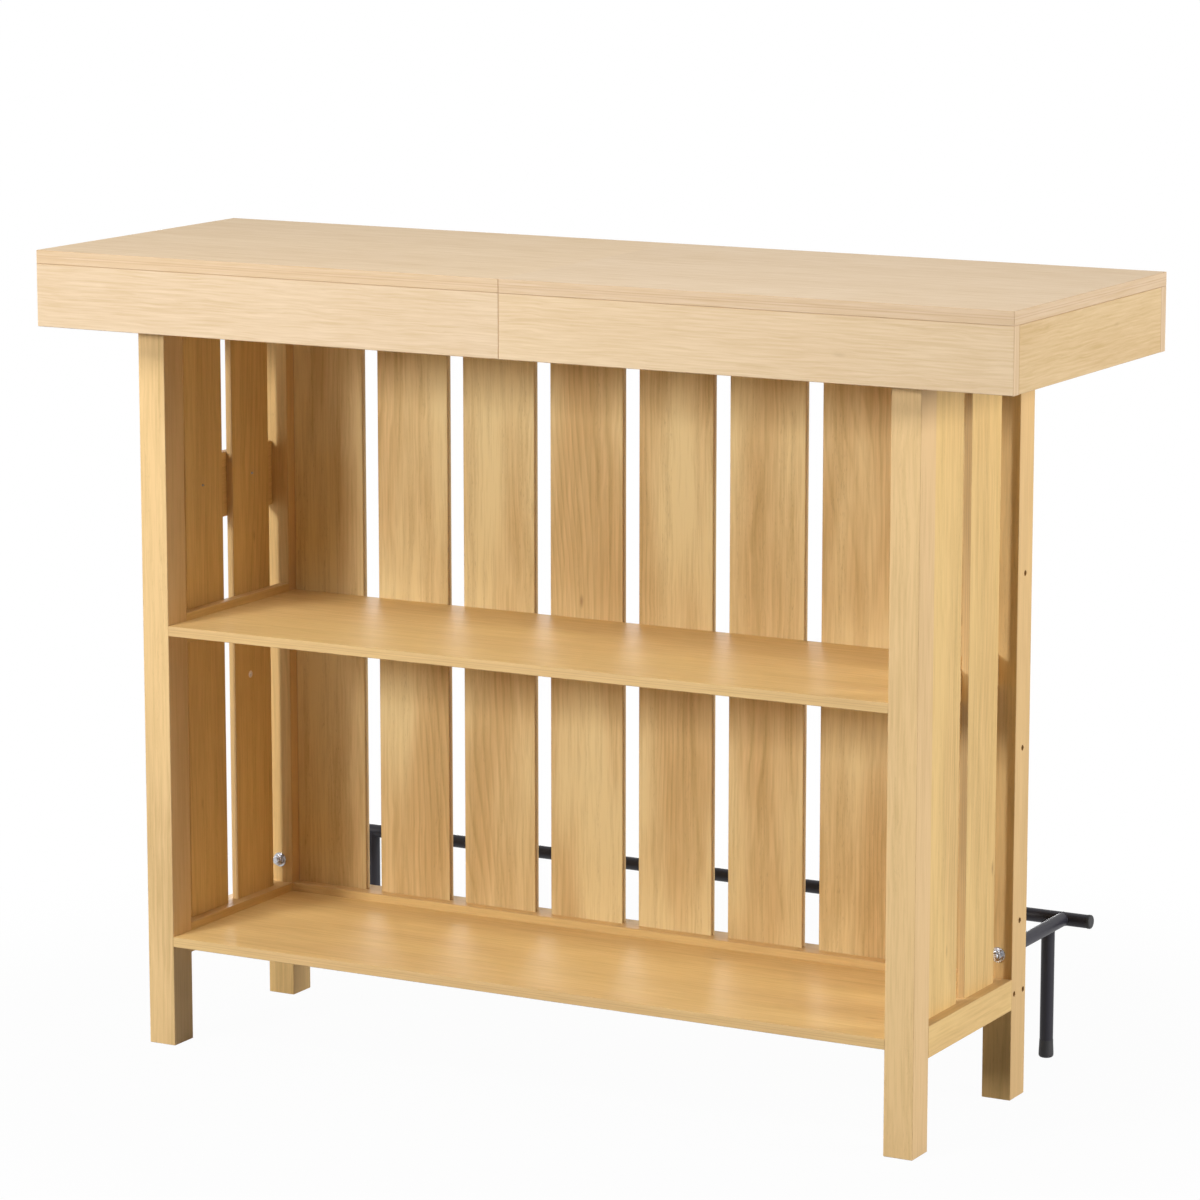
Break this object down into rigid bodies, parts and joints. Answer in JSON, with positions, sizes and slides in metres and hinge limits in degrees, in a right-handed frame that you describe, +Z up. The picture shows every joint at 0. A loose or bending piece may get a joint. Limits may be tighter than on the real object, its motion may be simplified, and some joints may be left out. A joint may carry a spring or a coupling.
{
  "type": "bar counter with shelves",
  "caption": "Bar-height wooden counter, open shelves on the bartender's side, slatted back and ends, deep apron under the top, and a black tube foot rail on the guests' side.",
  "frame": {"origin": "on the floor, at the middle of the outline of the whole counter with its foot rail", "axes": "+Z up, +X along the counter, -Y towards the bartender's open side, +Y towards the guests and the foot rail"},
  "size_m": [1.4, 0.557, 1.067],
  "materials": {
    "oak_laminate": "pale oak grain, satin",
    "oak_edging": "straight-striped oak edging, satin",
    "beech": "turned beech, unfinished",
    "black_steel": "black powder coat, fine texture",
    "zinc_steel": "bright zinc plate",
    "black_rubber": "matt moulded rubber"
  },
  "bodies": {
    "root": {"apron_back_left": "oak_laminate", "apron_back_right": "oak_laminate", "apron_corner_blocks": "beech", "apron_front_left": "oak_laminate", "apron_front_right": "oak_laminate", "apron_joint_block_back": "oak_laminate", "apron_joint_block_front": "oak_laminate", "apron_side_left": "oak_laminate", "apron_side_right": "oak_laminate", "back_slat_1": "oak_laminate", "back_slat_2": "oak_laminate", "back_slat_3": "oak_laminate", "back_slat_4": "oak_laminate", "back_slat_5": "oak_laminate", "back_slat_6": "oak_laminate", "back_slat_7": "oak_laminate", "back_slat_8": "oak_laminate", "bracket_screws": "zinc_steel", "cleat_middle_back": "oak_laminate", "cleat_middle_left": "oak_laminate", "cleat_middle_right": "oak_laminate", "foot_rail_arm_left": "black_steel", "foot_rail_arm_right": "black_steel", "foot_rail_end_caps": "black_rubber", "foot_rail_feet": "black_rubber", "foot_rail_nuts": "zinc_steel", "foot_rail_post_left": "black_steel", "foot_rail_post_right": "black_steel", "foot_rail_studs": "zinc_steel", "foot_rail_tube": "black_steel", "foot_rail_washers": "zinc_steel", "frame_screws": "zinc_steel", "leg_back_left": "oak_laminate", "leg_back_right": "oak_laminate", "leg_front_left": "oak_laminate", "leg_front_right": "oak_laminate", "rail_dowels": "beech", "rail_lower_back": "oak_laminate", "rail_lower_left": "oak_laminate", "rail_lower_right": "oak_laminate", "rail_upper_back": "oak_laminate", "rail_upper_centre": "oak_laminate", "rail_upper_front": "oak_laminate", "rail_upper_left": "oak_laminate", "rail_upper_right": "oak_laminate", "seam_plate": "zinc_steel", "shelf_lower": "oak_edging", "shelf_middle": "oak_edging", "side_slat_left_back": "oak_laminate", "side_slat_left_front": "oak_laminate", "side_slat_right_back": "oak_laminate", "side_slat_right_front": "oak_laminate", "side_tie_board": "oak_laminate", "thin_dowels": "beech", "top_board_left": "oak_edging", "top_board_right": "oak_edging", "top_brackets": "zinc_steel", "wood_screws": "zinc_steel"}
  },
  "joints": []
}
